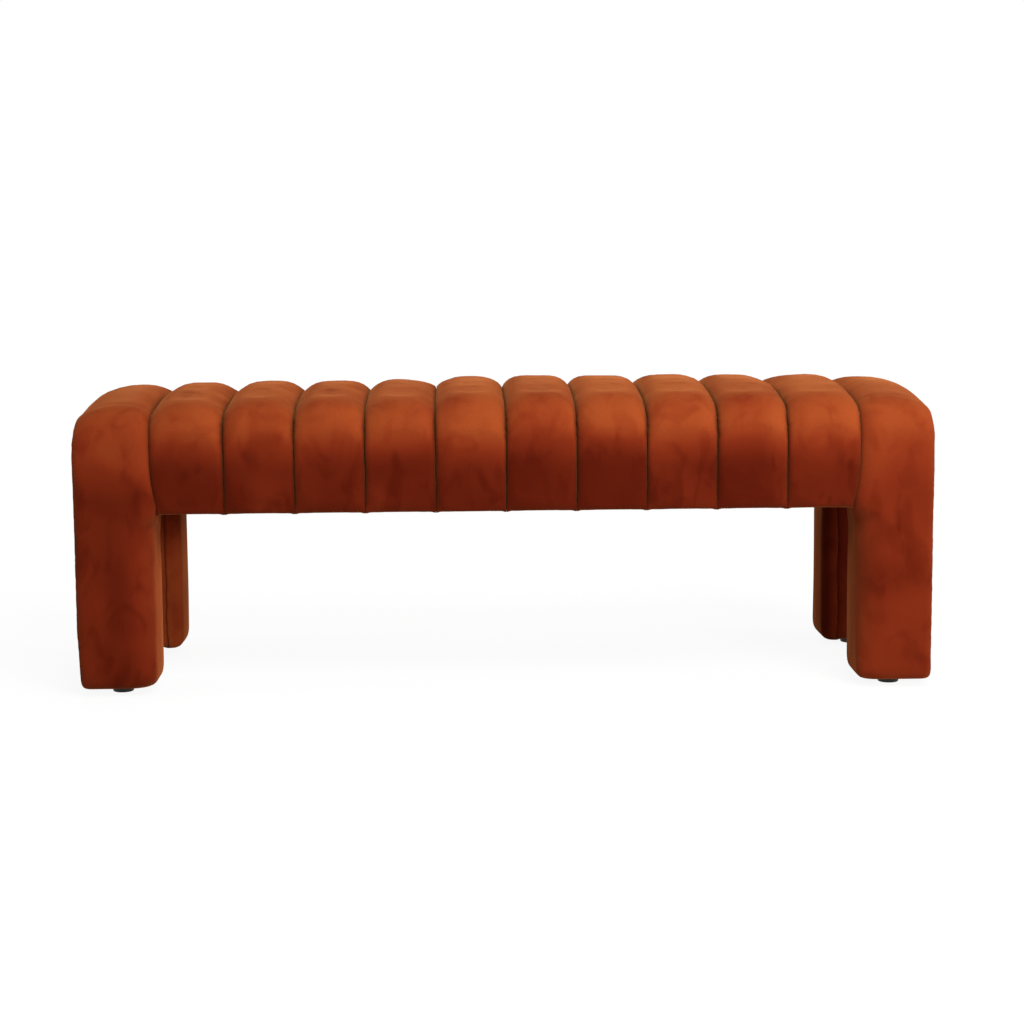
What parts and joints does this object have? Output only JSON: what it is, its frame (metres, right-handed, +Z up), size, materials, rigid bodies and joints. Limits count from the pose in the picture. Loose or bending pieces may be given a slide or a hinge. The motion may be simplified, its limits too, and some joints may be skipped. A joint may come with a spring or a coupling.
{
  "type": "bedroom bench",
  "caption": "Long upholstered bench with a channel-tufted velvet seat whose end channels run down square velvet legs in two arched end units on black glides.",
  "frame": {"origin": "centre of the footprint on the floor, under the middle of the bench", "axes": "+X along the bench's length to the right as seen from the front, +Y from the front to the rear, +Z up"},
  "size_m": [1.3, 0.45, 0.468],
  "materials": {
    "velvet": "rust cut velvet, soft pile with lighter and darker strokes",
    "foam_yellow": "cut polyurethane foam, matte",
    "foam_white": "moulded foam strip, matte",
    "plywood": "raw birch plywood",
    "pine": "planed pine",
    "beech": "fluted beech dowel",
    "zinc": "zinc-plated steel",
    "glide": "black moulded plastic",
    "cambric": "black non-woven dust cover cloth"
  },
  "bodies": {
    "root": {"front_rail": "pine", "rear_rail": "pine", "left_end_rail": "pine", "right_end_rail": "pine", "cross_rails": "pine", "corner_blocks": "pine", "foot_blocks": "pine", "rail_dowels": "beech", "seat_deck": "plywood", "left_outer_cheek": "plywood", "left_inner_cheek": "plywood", "right_outer_cheek": "plywood", "right_inner_cheek": "plywood", "left_top_board": "plywood", "right_top_board": "plywood", "left_arch_board": "plywood", "right_arch_board": "plywood", "left_front_leg_boards": "plywood", "left_rear_leg_boards": "plywood", "right_front_leg_boards": "plywood", "right_rear_leg_boards": "plywood", "deck_screws": "zinc", "cheek_screws": "zinc", "connector_bolts": "zinc", "bolt_washers": "zinc", "tee_nuts": "zinc", "glide_screws": "zinc", "dust_cover_staples": "zinc", "left_front_glide": "glide", "left_rear_glide": "glide", "right_front_glide": "glide", "right_rear_glide": "glide", "seat_foam": "foam_yellow", "left_outer_foam": "foam_yellow", "right_outer_foam": "foam_yellow", "left_lining_foam": "foam_yellow", "right_lining_foam": "foam_yellow", "left_inner_foam": "foam_yellow", "right_inner_foam": "foam_yellow", "channel_foam": "foam_white", "left_arch_foam": "foam_white", "right_arch_foam": "foam_white", "channel_cover_1": "velvet", "channel_cover_2": "velvet", "channel_cover_3": "velvet", "channel_cover_4": "velvet", "channel_cover_5": "velvet", "channel_cover_6": "velvet", "channel_cover_7": "velvet", "channel_cover_8": "velvet", "channel_cover_9": "velvet", "channel_cover_10": "velvet", "left_arch_cover": "velvet", "right_arch_cover": "velvet", "left_outer_cover": "velvet", "right_outer_cover": "velvet", "left_arch_lining": "velvet", "right_arch_lining": "velvet", "dust_cover": "cambric"}
  },
  "joints": []
}
